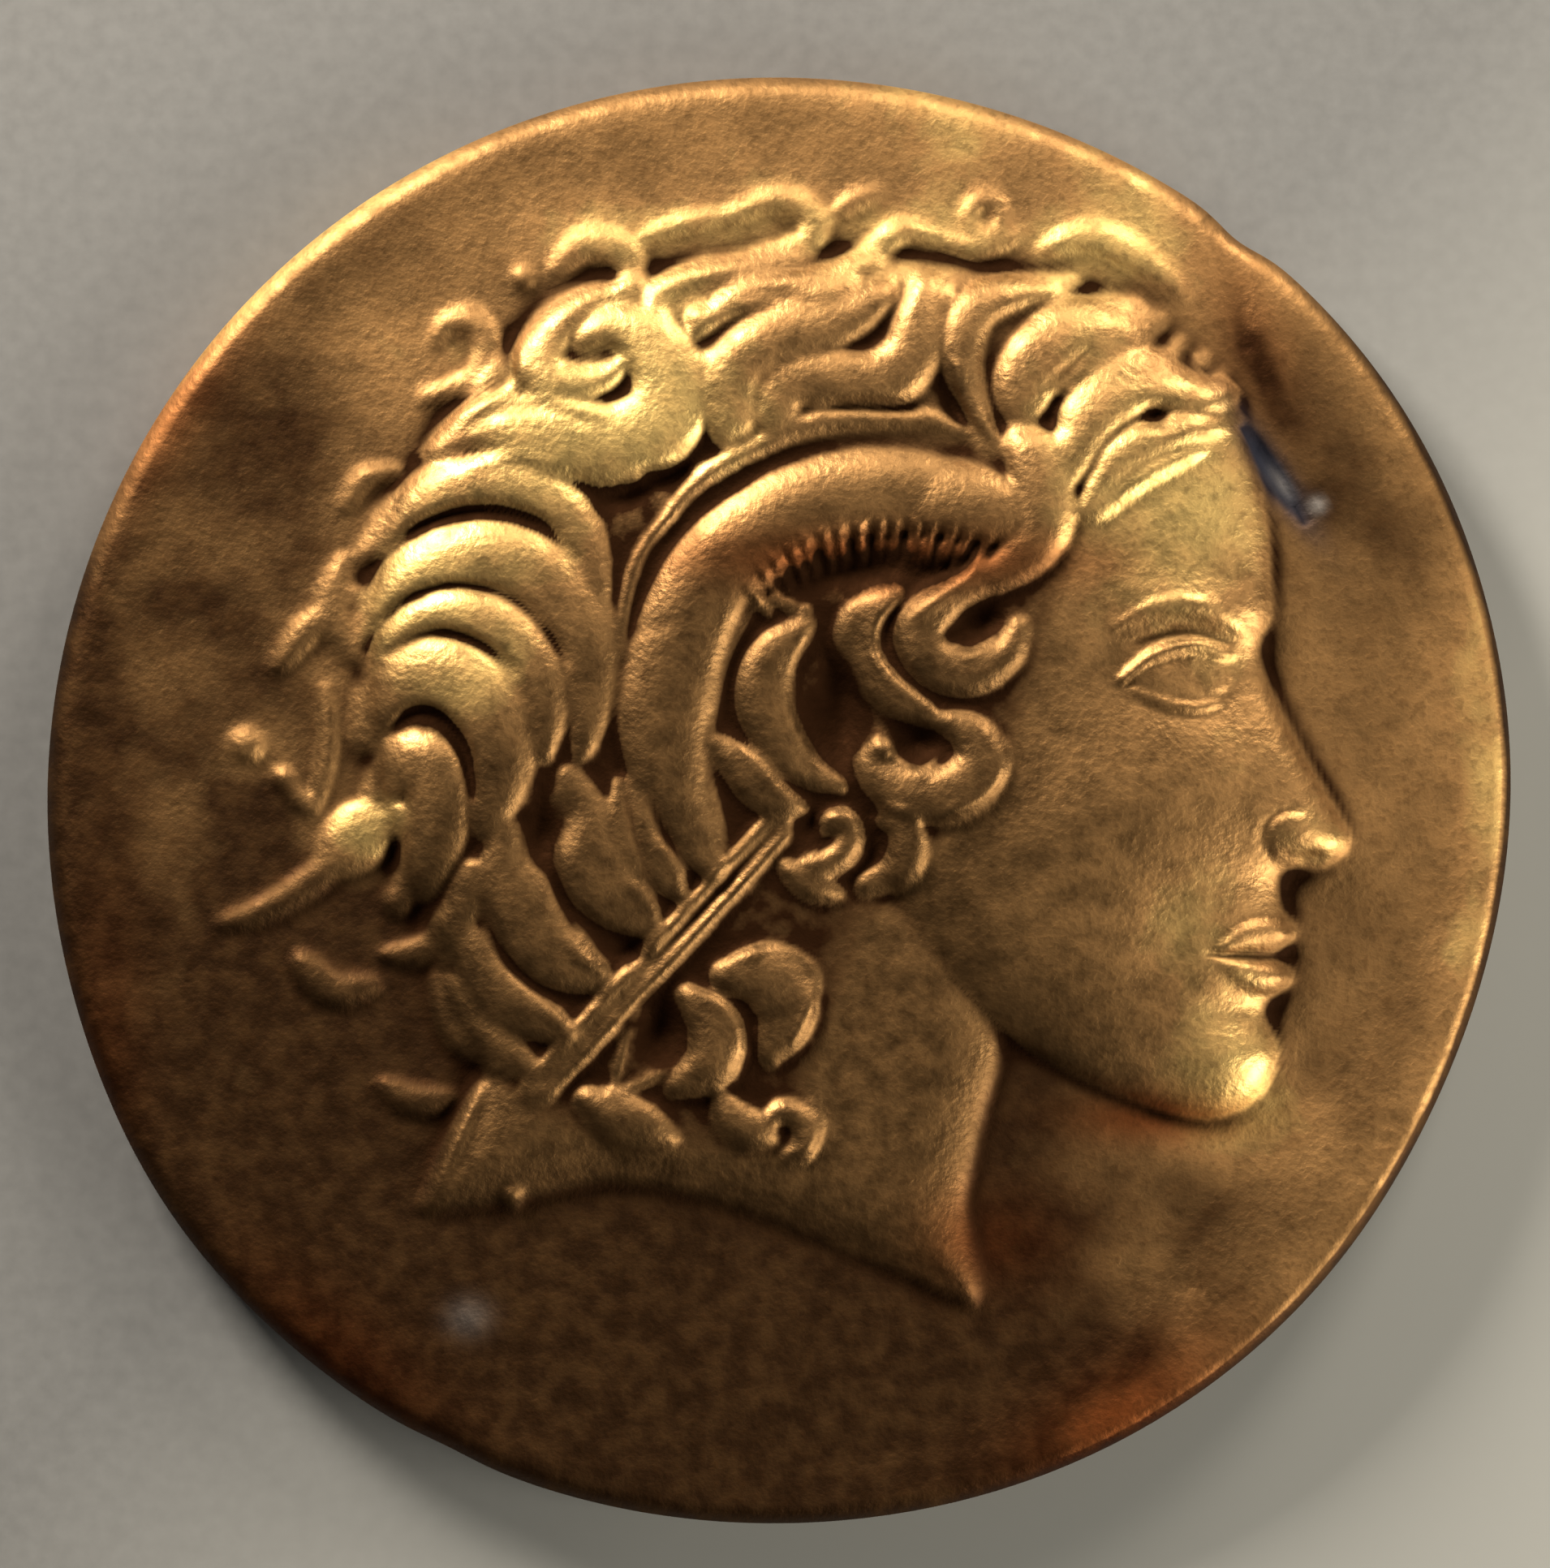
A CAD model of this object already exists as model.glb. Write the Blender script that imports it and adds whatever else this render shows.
# An ancient gold coin, struck by hand, lying with its head side up and seen from straight above.
from math import cos, hypot, pi, radians, sin

import bpy
import numpy as np
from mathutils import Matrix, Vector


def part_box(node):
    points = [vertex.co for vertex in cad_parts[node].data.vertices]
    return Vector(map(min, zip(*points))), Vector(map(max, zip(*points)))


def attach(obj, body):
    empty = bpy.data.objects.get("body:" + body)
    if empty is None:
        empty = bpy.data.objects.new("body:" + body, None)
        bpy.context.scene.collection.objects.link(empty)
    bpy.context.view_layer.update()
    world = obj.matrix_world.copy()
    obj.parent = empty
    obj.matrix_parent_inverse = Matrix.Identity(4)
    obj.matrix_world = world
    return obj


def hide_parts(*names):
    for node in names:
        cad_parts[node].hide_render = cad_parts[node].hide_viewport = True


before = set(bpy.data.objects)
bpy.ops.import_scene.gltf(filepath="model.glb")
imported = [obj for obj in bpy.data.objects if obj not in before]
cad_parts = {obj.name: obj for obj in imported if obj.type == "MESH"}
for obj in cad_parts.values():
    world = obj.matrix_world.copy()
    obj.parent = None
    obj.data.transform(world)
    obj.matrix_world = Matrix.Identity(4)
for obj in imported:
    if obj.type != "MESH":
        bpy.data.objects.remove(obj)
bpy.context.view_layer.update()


# The flan is the blank of gold that was struck: cast, warmed and squeezed between two dies.
# It spread unevenly, so its outline isn't a true circle and a low lip of metal stands round the die's mark.
# Lengths are in metres. Places on a face are in hundredths of the flan's radius, across and up.
FLAN_RADIUS = 0.0105
HUNDREDTH = FLAN_RADIUS / 100
FIELD_HEIGHT = 0.00108
EDGE_ROUNDING = 0.00018
RIM_FALL = 0.00005
RIM_WIDTH = 0.00020
RIM_SPREAD = 0.0019
RIM_SPREAD_RISE = 0.00020
RIM_SPREAD_DIRECTION = radians(-42)
# Direction and half-width in degrees, then metres outwards
OUTLINE_SWELLS = (
    (30, 26, 0.00019),
    (2, 14, 0.00006),
    (90, 30, -0.00005),
    (272, 26, -0.00009),
    (214, 12, 0.00005),
    (334, 12, -0.00004),
    (50.5, 2.6, -0.00010),
    (243, 3.5, -0.00004),
)


def flan_radius(direction):
    """The outline's radius in each direction."""
    radius = np.full(np.shape(direction), FLAN_RADIUS)
    for middle, spread, outwards in OUTLINE_SWELLS:
        turn = (direction - radians(middle) + pi) % (2 * pi) - pi
        radius = radius + outwards * np.exp(-(turn / radians(spread))**2)
    return radius


def smooth_step(value, start, end):
    """Rises from 0 to 1 with soft ends."""
    share = np.clip((value - start) / (end - start), 0, 1)
    return share * share * (3 - 2 * share)


def obverse_field(across, up):
    """The bare field of the head side, with its lip where the metal spread and a fall elsewhere."""
    direction = np.arctan2(up, across)
    from_edge = flan_radius(direction) - np.hypot(across, up) * HUNDREDTH
    towards = np.clip(np.cos(direction - RIM_SPREAD_DIRECTION), 0, 1)**4
    width = RIM_WIDTH + RIM_SPREAD * towards
    rise = RIM_SPREAD_RISE * towards - RIM_FALL * (1 - towards)
    return FIELD_HEIGHT + rise * smooth_step(-from_edge, -EDGE_ROUNDING - width, -EDGE_ROUNDING)


# The relief was cut into the die by hand, with gravers for the locks and round punches for the beads.
# Each tool below leaves the mark that such a tool leaves, raised on the coin where it is sunk in the die.
RELIEF_STEP = 0.0000175
RELIEF_REACH = 104


def curve_through(points, steps=10):
    """A smooth curve that passes through every given point."""
    ends = np.array(points, float)
    chain = np.vstack([2 * ends[0] - ends[1], ends, 2 * ends[-1] - ends[-2]])
    share = np.linspace(0, 1, steps, endpoint=False)[:, None]
    runs = []
    for before, start, end, after in zip(chain, chain[1:], chain[2:], chain[3:]):
        bend = 2 * before - 5 * start + 4 * end - after
        twist = 3 * start - before - 3 * end + after
        runs.append(0.5 * (2 * start + (end - before) * share + bend * share**2 + twist * share**3))
    return np.vstack(runs + [ends[-1:]])


def arc(centre, radius, start, end, count=9):
    """Points along an arc, from one direction to another in degrees."""
    turns = np.radians(np.linspace(start, end, count))
    return [(centre[0] + radius * cos(turn), centre[1] + radius * sin(turn)) for turn in turns]


class Relief:
    """Heights over a square grid of places on one face, in metres."""

    def __init__(self):
        count = int(2 * RELIEF_REACH * HUNDREDTH / RELIEF_STEP)
        self.ticks = np.linspace(-RELIEF_REACH, RELIEF_REACH, count)
        self.across, self.up = np.meshgrid(self.ticks, self.ticks)
        self.height = np.zeros_like(self.across)

    def window(self, points, margin):
        """The part of the grid within a margin of some points."""
        low = np.searchsorted(self.ticks, np.min(points, axis=0) - margin)
        high = np.searchsorted(self.ticks, np.max(points, axis=0) + margin)
        return slice(low[1], high[1]), slice(low[0], high[0])

    def near(self, curve, margin):
        """Each nearby place's distance from a curve, how far along it that is, and whether on its left."""
        part = self.window(curve, margin)
        across, up = self.across[part], self.up[part]
        distance = np.full(across.shape, np.inf)
        along = np.zeros(across.shape)
        left = np.zeros(across.shape, bool)
        steps = np.hypot(*np.diff(curve, axis=0).T)
        reached = np.concatenate([[0], np.cumsum(steps)])
        for index, (start, end) in enumerate(zip(curve, curve[1:])):
            run = end - start
            share = ((across - start[0]) * run[0] + (up - start[1]) * run[1]) / max(run @ run, 1e-9)
            share = np.clip(share, 0, 1)
            gap = np.hypot(across - start[0] - share * run[0], up - start[1] - share * run[1])
            closer = gap < distance
            distance = np.where(closer, gap, distance)
            along = np.where(closer, (reached[index] + share * steps[index]) / reached[-1], along)
            left = np.where(closer, run[0] * (up - start[1]) > run[1] * (across - start[0]), left)
        return part, distance, along, left

    def rib(self, points, half_width, rise, belly=0.5, ends=(0.25, 0.15), fullness=(0.42, 0.42)):
        """A rounded rib that tapers to both ends, with its own fullness on its left and on its right."""
        curve = curve_through(points)
        part, distance, along, left = self.near(curve, half_width * 1.1)
        before = ends[0] + (1 - ends[0]) * np.sin(pi / 2 * np.clip(along / belly, 0, 1))**0.75
        after = ends[1] + (1 - ends[1]) * np.sin(pi / 2 * np.clip((1 - along) / (1 - belly), 0, 1))**0.75
        taper = np.where(along < belly, before, after)
        across_rib = np.clip(1 - (distance / (half_width * taper))**2, 0, 1)
        height = rise * (0.4 + 0.6 * taper) * across_rib**np.where(left, fullness[0], fullness[1])
        self.height[part] = np.maximum(self.height[part], height)

    def line(self, points, half_width, rise):
        """A thin raised lip, or with a negative rise a groove, added to what is already there."""
        curve = curve_through(points)
        part, distance, along, _ = self.near(curve, half_width * 1.1)
        taper = 0.35 + 0.65 * np.sin(pi * np.clip(along, 0, 1))
        self.height[part] += rise * np.clip(1 - (distance / (half_width * taper))**2, 0, 1)

    def pellet(self, centre, radius, rise):
        """A small round bead, left by a punch."""
        part = self.window([centre], radius)
        distance = np.hypot(self.across[part] - centre[0], self.up[part] - centre[1]) / radius
        dome = rise * np.sqrt(np.clip(1 - distance**2, 0, 1))
        self.height[part] = np.maximum(self.height[part], dome)

    def swell(self, centre, radii, rise, tilt=0):
        """A soft swelling, or with a negative rise a soft hollow."""
        turn = radians(tilt)
        across, up = self.across - centre[0], self.up - centre[1]
        long_way = (across * cos(turn) + up * sin(turn)) / radii[0]
        short_way = (up * cos(turn) - across * sin(turn)) / radii[1]
        self.height += rise * np.exp(-(long_way**2 + short_way**2))

    def form(self, outline, rise, rounding):
        """A flat-topped form with a closed outline, rounded over from its edge."""
        curve = curve_through(list(outline) + [outline[0]], steps=5)
        part, distance, _, _ = self.near(curve, 0)
        across, up = self.across[part], self.up[part]
        inside = np.zeros(across.shape, bool)
        for start, end in zip(curve, curve[1:]):
            spans = (start[1] > up) != (end[1] > up)
            slope = (end[0] - start[0]) / (end[1] - start[1] + 1e-12)
            inside ^= spans & (across < start[0] + slope * (up - start[1]))
        depth = np.clip(distance * HUNDREDTH / rounding, 0, 1)
        height = np.where(inside, rise * np.sqrt(1 - (1 - depth)**2), 0)
        self.height[part] = np.maximum(self.height[part], height)

    def blurred(self, spread):
        """The heights, smoothed over a distance in metres."""
        turns = 2 * pi * np.fft.fftfreq(len(self.ticks), RELIEF_STEP)
        fade = np.exp(-0.5 * (turns * spread)**2)
        return np.fft.ifft2(np.fft.fft2(self.height) * fade[:, None] * fade[None, :]).real

    def at(self, across, up):
        """The height at any places, read between the grid's own."""
        return read_between(self.ticks, self.height, across, up)


def read_between(ticks, values, across, up):
    """Values at any places, from a square grid of them."""
    step = ticks[1] - ticks[0]
    column = np.clip((across - ticks[0]) / step, 0, len(ticks) - 1.001)
    row = np.clip((up - ticks[0]) / step, 0, len(ticks) - 1.001)
    left, low = column.astype(int), row.astype(int)
    right_share, high_share = column - left, row - low
    lower = values[low, left] * (1 - right_share) + values[low, left + 1] * right_share
    upper = values[low + 1, left] * (1 - right_share) + values[low + 1, left + 1] * right_share
    return lower * (1 - high_share) + upper * high_share


# The head stands on the field in three masses of struck gold: the cap of hair, the neck and the face.
# The face is a calm one in even thirds, and years of handling have softened every edge of it.
HAIR_HEIGHT = 0.00043
BACK_SWELL = 0.00022
FACE_HEIGHT = 0.00058
NECK_HEIGHT = 0.00036
HAIR_ROUNDING = 0.0017
FACE_ROUNDING = 0.0016
NECK_ROUNDING = 0.0011
MASS_SOFTNESS = 0.00006
FEATURE_SOFTNESS = 0.00003
THIRD = 100 / 3
HAIRLINE = 57.6
BROW = HAIRLINE - THIRD
NOSE_BASE = BROW - THIRD
CHIN = NOSE_BASE - THIRD

HAIR = ((60, 54), (53, 63), (43, 69), (28, 73), (8, 75), (-14, 73), (-30, 68), (-42, 56),
        (-51, 43), (-55, 28), (-55, 10), (-52, -5), (-47, -18), (-43, -30), (-35, -42), (-24, -46),
        (-12, -48), (2, -48), (7, -33), (14, -16), (24, -3), (33, 8), (38, 24), (46, 42))
NECK = ((-48, -56), (-42, -40), (-25, -12), (6, -4), (24, -16), (31, -32), (28.5, -44), (26.5, -56),
        (27.5, -68.5), (11, -61), (-6, -54.5), (-22, -51.5), (-35, -54))
FACE = ((62.5, HAIRLINE), (66.8, BROW + 19), (68.2, BROW + 3), (66.8, BROW - 4.5), (71, BROW - 15),
        (77.6, NOSE_BASE + 7), (78.6, NOSE_BASE + 3), (75.5, NOSE_BASE + 0.2),
        (70.2, NOSE_BASE - 0.8), (69.6, NOSE_BASE - 5), (71.6, NOSE_BASE - 8.8),
        (69.6, NOSE_BASE - 11.6), (71, NOSE_BASE - 15.4), (67.6, NOSE_BASE - 19.5),
        (68.8, NOSE_BASE - 26), (66, CHIN + 1.6), (59, CHIN - 1), (49, CHIN + 1.6),
        (36, CHIN + 7.5), (24, CHIN + 16), (15, CHIN + 28), (9, 0), (6, 24), (20, 50), (42, 61))

relief = Relief()
relief.form(HAIR, HAIR_HEIGHT, HAIR_ROUNDING)
relief.form(NECK, NECK_HEIGHT, NECK_ROUNDING)
relief.form(FACE, FACE_HEIGHT, FACE_ROUNDING)
relief.height = relief.blurred(MASS_SOFTNESS)
relief.swell((-40, 14), (19, 27), BACK_SWELL, tilt=12)

# The face's soft modelling: its roundness, socket, brow, cheek, nose, nostril wing and chin
EYE = BROW - 7.4
MOUTH = NOSE_BASE - 12
relief.swell((44, NOSE_BASE + 4), (24, 36), 0.00014)
relief.swell((56.5, EYE), (11, 6.5), -0.00017, tilt=-4)
relief.swell((58, BROW + 2.5), (10, 3.4), 0.00010, tilt=-6)
relief.swell((46, NOSE_BASE + 8), (14, 10), 0.00013, tilt=20)
relief.swell((54, MOUTH + 2), (5, 9), -0.00006, tilt=-12)
relief.swell((71, NOSE_BASE + 13), (3.4, 12), 0.00008, tilt=22)
relief.swell((70.6, NOSE_BASE + 4), (3.6, 3.2), 0.00012)
relief.swell((63.5, CHIN + 7), (5.5, 5), 0.00009)
relief.swell((63.5, MOUTH - 7.5), (5, 2.6), -0.00005)

features = Relief()
features.rib([(47, EYE - 0.4), (51.5, EYE + 2.9), (57, EYE + 4.3), (61.4, EYE + 3.2)],
             1.2, 0.00016, ends=(0.3, 0.8))
features.rib([(48.4, EYE - 1.4), (53, EYE - 3.2), (57.4, EYE - 3.9), (60.6, EYE - 3.2)],
             0.9, 0.00011, ends=(0.3, 0.7))
features.rib([(50, EYE), (55, EYE + 0.2), (59.2, EYE)], 3.4, 0.00014, belly=0.75, ends=(0.4, 0.85))
features.rib([(46, BROW - 0.6), (52, BROW + 2.2), (59, BROW + 2), (66, BROW - 2.4)], 1.5, 0.00006)
features.rib([(60.5, MOUTH + 0.8), (65.5, MOUTH + 3), (70.6, MOUTH + 2.4)], 1.9, 0.00010, belly=0.7)
features.rib([(61.5, MOUTH - 1), (66, MOUTH - 3), (70.2, MOUTH - 2.8)], 2.1, 0.00011, belly=0.7)
features.rib(arc((70.6, NOSE_BASE + 4), 3.2, 60, 290), 0.8, 0.00003)
features.line([(59, MOUTH + 0.4), (65, MOUTH + 0.1), (71, MOUTH - 0.2)], 0.9, -0.00009)
features.line(arc((70.6, NOSE_BASE + 4), 3.9, 75, 235), 0.9, -0.00006)
features.line([(71.5, NOSE_BASE + 1.2), (75, NOSE_BASE + 1.6)], 1.2, -0.00009)
features.line([(48.5, EYE + 4.6), (56, EYE + 6.6), (62.5, EYE + 5)], 0.8, -0.00005)
features.line([(58.6, EYE + 2.8), (57.3, EYE), (58.6, EYE - 2.6)], 0.5, -0.00004)
features.line([(60, EYE + 1), (60, EYE - 1)], 0.8, -0.00003)
relief.height += features.blurred(FEATURE_SOFTNESS)


# The locks of hair: thick commas and crescents, nested so that only narrow dark clefts part them.
# Each is the points that it runs through, its half-width, how far along it is widest, and its width
# at its start as a share of that.
LOCK_HEIGHT = 0.00021
BACK_LOCK_HEIGHT = 0.00019
LIP_HEIGHT = 0.00010
LOCK_SOFTNESS = 0.000058
CUT_SOFTNESS = 0.00005
COMB_SOFTNESS = 0.00003
STANDING_LOCKS = (
    # Crown
    (((-23, 70.6), (-28.4, 67.3), (-32.1, 62.4), (-31.5, 58.2), (-27.2, 57), (-23, 58),
      (-20.8, 60)), 3.4, 0.45, 0.3),
    (((-47, 48.1), (-41.2, 51.5), (-33.9, 50.9), (-27.2, 49.4), (-20.5, 49), (-15, 52.6), (-14.6, 58.6),
      (-18, 63.4), (-22.5, 65), (-26.8, 63)), 5.8, 0.52, 0.25),
    (((-5.7, 50.8), (-5.8, 58), (0.5, 63.4), (8.9, 65.6), (14.4, 69.2)), 4.4, 0.25, 0.75),
    (((-0.2, 52.5), (1.8, 57), (7.7, 57.6), (13.8, 57.3), (18.3, 60.4), (19.6, 65), (20.8, 70.5)),
      4.3, 0.55, 0.7),
    (((0.6, 68.6), (6.5, 69.2), (11, 71.2)), 2.7, 0.5, 0.5),
    (((-11, 64), (-6, 68), (2, 70.6), (8.3, 73)), 2.1, 0.5, 0.4),
    # Over the forehead
    (((29.3, 50.4), (26.8, 55), (25.4, 61), (27.2, 67), (33, 70), (41.6, 71)), 3.1, 0.55, 0.35),
    (((33.6, 52.6), (34.6, 57.5), (38.8, 61.8), (44.5, 65), (52, 65.4)), 5.6, 0.5, 0.5),
    (((40.2, 44.8), (41.2, 49.5), (44, 54), (48.7, 57.3), (53.9, 57.4), (60.5, 54.6)), 4.7, 0.55, 0.5),
    (((42.4, 39.6), (45.2, 44.8), (49.2, 48.3), (53.9, 50.3), (61, 51.4)), 2.9, 0.5, 0.5),
    (((43.5, 38.7), (50, 44.2), (58.5, 48.3)), 1.5, 0.5, 0.5),
    (((34.4, 49.6), (36.4, 44), (36.6, 39), (34.4, 34.4), (30, 30.6)), 4.4, 0.35, 0.75),
    # Temple
    (((4.4, 24), (-0.3, 20.2), (-1.9, 16), (-1.4, 11.7), (1.1, 7.5), (4.4, 4.2), (9.2, 1.8)),
      3.6, 0.4, 0.35),
    (((-7.9, 8), (-4.1, 4.2), (-0.8, 0.9), (4, -1.7)), 3.1, 0.45, 0.35),
    (((16.8, 28.9), (12, 25.4), (10.8, 21), (13.2, 16.9), (17.6, 13.5), (23, 10.4)), 3.2, 0.4, 0.3),
    (((14, 8), (12.9, 5), (16.2, 1.6), (20.5, 0.6), (25.7, 2.2), (28, 6.1), (26.1, 9.6),
      (22, 11.4)), 3.9, 0.6, 0.35),
    (((30.5, 31.6), (23.4, 27.6), (19.6, 23.4), (21.5, 19), (26.5, 17.4), (31.5, 20), (33.2, 24)),
      3.4, 0.5, 0.6),
    (((3.8, -8.8), (7.8, -8.2), (10.2, -5.8), (9.7, -3.2), (7.7, -2.8), (6.7, -4.2)), 2.1, 0.45, 0.55),
    (((12.4, -11.2), (16.6, -9.4), (18.2, -6), (17, -3.2), (14.6, -2.6)), 2.8, 0.5, 0.55),
    (((1.4, -8.6), (4.4, -11.2), (9, -12.6)), 1.9, 0.5, 0.5),
    # Nape
    (((-6.6, -23.8), (-1.4, -24.2), (1.6, -28.6), (-0.6, -34.6)), 4.6, 0.45, 0.5),
    (((-12, -26.6), (-8.4, -30.4), (-8.6, -35.4), (-13.8, -39.2)), 4, 0.5, 0.4),
    (((-25.4, -40.6), (-20.8, -43.4), (-14.4, -46)), 3.9, 0.5, 0.5),
    (((-7.6, -40.4), (-5, -43.8), (-0.2, -46)), 3, 0.6, 0.4),
    (((-1.6, -44.8), (1, -42.2), (4, -43.8), (3.8, -47), (1.6, -48.6)), 1.8, 0.5, 0.6),
)
# The nest of broad locks at the back of the head, which overlap like scales
BACK_LOCKS = (
    (((-56, 34), (-51, 40.3), (-44, 43.6), (-36.5, 43.8), (-30, 41.2), (-25.6, 36), (-23.2, 28)),
      3.9, 0.5, 0.4),
    (((-57.2, 20.6), (-54.2, 27.3), (-49.3, 31.4), (-43.2, 33.8), (-36.5, 33.6), (-30.6, 30.6),
      (-26.4, 25.6), (-24.6, 19), (-24.8, 12), (-26.2, 6.4)), 5.0, 0.6, 0.35),
    (((-55.6, 18), (-51.7, 23), (-46.9, 25.9), (-41.4, 26), (-35.9, 23.2), (-32.3, 18.4), (-30.6, 12.6),
      (-31.2, 6)), 3.9, 0.65, 0.35),
    (((-56, 9.2), (-53.6, 14.6), (-49.3, 17.6), (-43.8, 17.4), (-39.2, 13.8), (-36.8, 8.6), (-37, 2.6),
      (-39, -3.6)), 5.6, 0.5, 0.5),
    (((-54.8, 1), (-51.7, 5), (-48.1, 5.2), (-46, 1), (-46.2, -4.4), (-48.4, -9.8),
      (-51.6, -14.4)), 4.9, 0.45, 0.5),
    (((-27.6, 3), (-25.4, -6), (-21.6, -12), (-16.8, -17.4)), 6.1, 0.45, 0.35),
    (((-20.6, 2.4), (-18, -5), (-12.6, -12.9)), 3.9, 0.45, 0.4),
    (((-14, -2), (-11, -6), (-7.4, -10)), 3.1, 0.5, 0.4),
    (((-36.4, -4.4), (-35, -13), (-30.5, -19.6), (-23.4, -24.4)), 5.9, 0.5, 0.4),
    (((-42.6, -17.6), (-37.4, -25.8), (-28, -31.6)), 4.2, 0.5, 0.5),
    (((-45.6, -24.4), (-41.4, -31.6), (-33, -36)), 3.8, 0.5, 0.5),
)
# Loose ends, which lie on the field round the head and stand lower
LOOSE_LOCKS = (
    (((-48.4, 55), (-41.4, 57.8), (-39.2, 62), (-41, 65.6), (-44.8, 65.4), (-46.8, 62.6)), 2.2, 0.5, 0.4),
    (((-30, 72.6), (-26, 76.2), (-21, 75.4), (-19.6, 72), (-23, 69)), 2.6, 0.45, 0.5),
    (((-5.9, 80.2), (-0.4, 82.2), (4.6, 81), (4.9, 76.8), (-3, 73.8), (-11, 72.4), (-16.4, 69),
      (-14.8, 65.4)), 2.3, 0.6, 0.5),
    (((7, 71.4), (13.4, 75.4), (17.6, 78), (22.6, 77)), 2.1, 0.5, 0.4),
    (((23.3, 77), (28, 75.6), (33.9, 77.8)), 1.4, 0.5, 0.5),
    (((7.6, 80.1), (11, 82.3), (15, 83.6)), 1.3, 0.5, 0.5),
    (((-18.3, 77.2), (-12, 79.2), (-6.1, 80.2)), 1.3, 0.5, 0.5),
    (((36.7, 75.4), (43, 77.4), (50.3, 74.2), (56.4, 69)), 2.4, 0.45, 0.4),
    (((-41.4, -9), (-43.4, -16), (-48, -20.2), (-53.6, -21)), 2.7, 0.5, 0.5),
    (((-44.6, -19.8), (-46.7, -24.7)), 1.3, 0.5, 0.5),
    (((-52.4, -2.4), (-56.6, -4.4), (-61.4, -9)), 4.6, 0.4, 0.6),
    (((-58.6, -6.8), (-64, -11.2), (-69.6, -14.6), (-75, -16.6)), 2.2, 0.3, 0.8),
    (((-67.8, 4.2), (-65, 0), (-62.4, -1.3)), 1.3, 0.5, 0.5),
    (((-61.6, 15.8), (-61, 8), (-63.3, -2.4)), 1.5, 0.5, 0.5),
    (((-64.6, -22), (-60.6, -25.6), (-54.8, -25)), 2.6, 0.35, 0.7),
    (((-53.6, -38.7), (-48.9, -41), (-43.9, -40.2)), 2.3, 0.5, 0.5),
    (((-68, 18.4), (-64, 23.5), (-57, 29)), 2.2, 0.5, 0.5),
    (((-59, 33), (-60.6, 27), (-58.4, 20)), 2.4, 0.5, 0.5),
    (((-58.6, 40.2), (-56.3, 44), (-51.2, 45.6)), 1.7, 0.5, 0.5),
    (((-40.4, -39.1), (-44.4, -47.6), (-48.4, -55.6)), 1.5, 0.5, 0.5),
)
# Thin lips that the graver left along the locks' edges: the points along each one, and its half-width
LIPS = (
    (((-44, 52), (-38, 55.2), (-35, 57.8), (-35, 62)), 0.9),
    (((-33.6, 55.1), (-28.3, 53.7), (-23.3, 52.9)), 0.8),
    (((31, 48), (26, 55), (25, 59.8)), 1.1),
    (((-1, 30.2), (-6.9, 18.3), (-8.9, 6), (-6.4, -6.4)), 0.9),
    (((4, 22.5), (2, 17.5), (1.9, 12.5), (4.6, 7.4), (9.6, 2.6)), 0.9),
    (((-7.6, 9.6), (-2.8, 5.6), (0.6, 1.8), (4.4, -1)), 0.8),
    (((17, 28), (14, 24.4), (13.8, 20), (16.2, 16.4), (21.4, 12.8)), 0.9),
    (((13.8, 7.8), (16.6, 5.6), (19.6, 4), (22.8, 7)), 0.9),
    (((31.3, 7.9), (30.3, 3.4), (21.9, -3)), 0.8),
    (((17.8, 24.6), (21, 26.8), (24.6, 29.6), (29.6, 32.5)), 0.9),
    (((24.3, 21.6), (26.8, 20.1), (30.6, 23.4)), 0.9),
    (((-42, 45.6), (-36, 47), (-28.3, 45.3)), 0.8),
    (((-7, -22), (0, -19.8), (5.6, -24.3), (2.2, -33.6)), 0.9),
    (((-12, -25), (-5.6, -29), (-4.6, -34)), 0.9),
    (((-22.3, -39.7), (-18, -38.4), (-14.3, -36.2)), 0.9),
    (((-18.3, -28.3), (-20.6, -33.6), (-22.3, -39.7)), 0.7),
    (((5.3, -40.2), (6, -44.4), (3.9, -48.6)), 0.8),
    (((5.6, -3), (9, -1.4), (11.4, -3.2)), 0.8),
    (((13.9, -0.8), (18, -1.6), (20, -5)), 0.8),
    (((-13.5, 39.5), (-18, 34.5), (-20.2, 28), (-20.8, 20)), 1.1),
    (((-19.9, -10.9), (-16.6, -14.2), (-16.1, -18)), 0.9),
    (((-16.1, -5.1), (-13.3, -8.9), (-12.6, -12.3)), 0.9),
    (((-28, -18), (-26.6, -20.9), (-22.8, -23.2)), 0.9),
    (((-31.4, -27), (-29.4, -29.9), (-27.5, -31.8)), 0.9),
    (((-8.9, 2), (-8.5, -3), (-7.1, -8.9)), 0.8),
    (((-48, -55.8), (-35, -53.8), (-21.7, -51.3), (-6, -54.7), (10.6, -61.3), (27.4, -68.7)), 1.2),
)
# The great lock that sweeps round the temple, with a comb of short teeth under it
GREAT_LOCK = ((30, 40), (23, 42), (13.5, 42.6), (4.5, 40.6), (-2, 37), (-8, 32), (-12.4, 24), (-15, 15),
              (-15.4, 7.5), (-13.3, -1.5), (-10.2, -7), (-7.5, -10.5))
GREAT_LOCK_HALF_WIDTH = 6.5
RIDGE_OVER_GREAT_LOCK = ((-17, 36.5), (-10, 44), (-1, 49.4), (7, 52), (14, 52.4), (21, 52.2), (26, 50.4),
                         (30, 47.6))
RIDGE_HALF_WIDTH = 1.7
TEETH_ROOTS = ((-3.6, 29.4), (1.6, 34.4), (8, 37), (15, 37.8), (22, 37.2), (29, 35.6))
TEETH = 15
TEETH_CENTRE = (13, 6)
TOOTH_LENGTH = 5
TOOTH_HALF_WIDTH = 0.95
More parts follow.
